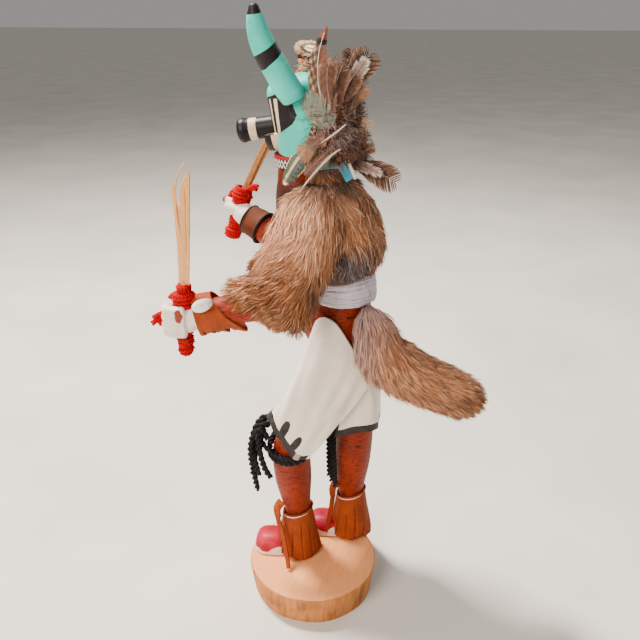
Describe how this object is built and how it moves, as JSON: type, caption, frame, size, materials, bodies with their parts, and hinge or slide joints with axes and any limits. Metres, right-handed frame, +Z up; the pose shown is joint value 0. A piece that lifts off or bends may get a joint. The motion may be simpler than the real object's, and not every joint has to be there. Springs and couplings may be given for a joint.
{
  "type": "kachina doll",
  "caption": "Carved and painted wooden figure in a horned mask with a tube mouth, dressed in fur, feathers, leather and yarn, striding on a round wooden base.",
  "frame": {"origin": "centre of the base disc's flat underside", "axes": "+Z up, the figure faces -Y and its left side is +X"},
  "size_m": [0.1146, 0.1884, 0.3798],
  "materials": {
    "base_wood": "bare sanded pale wood with saw marks on its side",
    "painted_skin": "carved wood under thin matt orange-red paint with dark flecks",
    "painted_moccasin": "carved wood under crimson paint with a white sole band",
    "painted_turquoise": "carved wood under matt turquoise paint with black and cream markings",
    "painted_black": "carved wood under satin black paint with a cream band",
    "painted_band": "painted band, black with white zigzags and a dark red edge",
    "brown_leather": "soft reddish-brown hide, cut edges paler",
    "white_leather": "smooth cream-white leather with a black painted hem",
    "white_thread": "white cotton thread",
    "white_yarn": "white yarn in close turns",
    "black_yarn": "thick twisted black yarn",
    "red_yarn": "fuzzy bright red yarn",
    "rabbit_fur": "dense brown and tan rabbit fur with grey underfur",
    "tail_fur": "long tan and rust fur with dark tips",
    "feathers": "brown, grey and cream barred feathers and down",
    "cowrie_shell": "glossy pearl-white shell",
    "yucca_leaf": "dry split yucca leaf, pale tan"
  },
  "bodies": {
    "root": {"base_disc": "base_wood", "carved_figure": "painted_skin", "left_moccasin": "painted_moccasin", "right_moccasin": "painted_moccasin", "left_ankle_fringe": "brown_leather", "right_ankle_fringe": "brown_leather", "left_ankle_tie": "white_thread", "right_ankle_tie": "white_thread", "left_knee_yarn": "black_yarn", "right_knee_yarn": "black_yarn", "kilt": "white_leather", "waist_sash": "white_yarn", "fox_tail": "tail_fur", "fur_cape": "rabbit_fur", "left_arm": "painted_skin", "right_arm": "painted_skin", "left_wrist_cuff": "brown_leather", "right_wrist_cuff": "brown_leather", "left_cuff_shell": "cowrie_shell", "left_hand_yarn": "red_yarn", "right_hand_yarn": "red_yarn", "left_whip": "yucca_leaf", "right_whip": "yucca_leaf", "mask_head": "painted_turquoise", "left_horn": "painted_turquoise", "right_horn": "painted_turquoise", "snout_tube": "painted_black", "lower_lip": "painted_black", "neck_collar": "painted_band", "head_feathers": "feathers"}
  },
  "joints": []
}
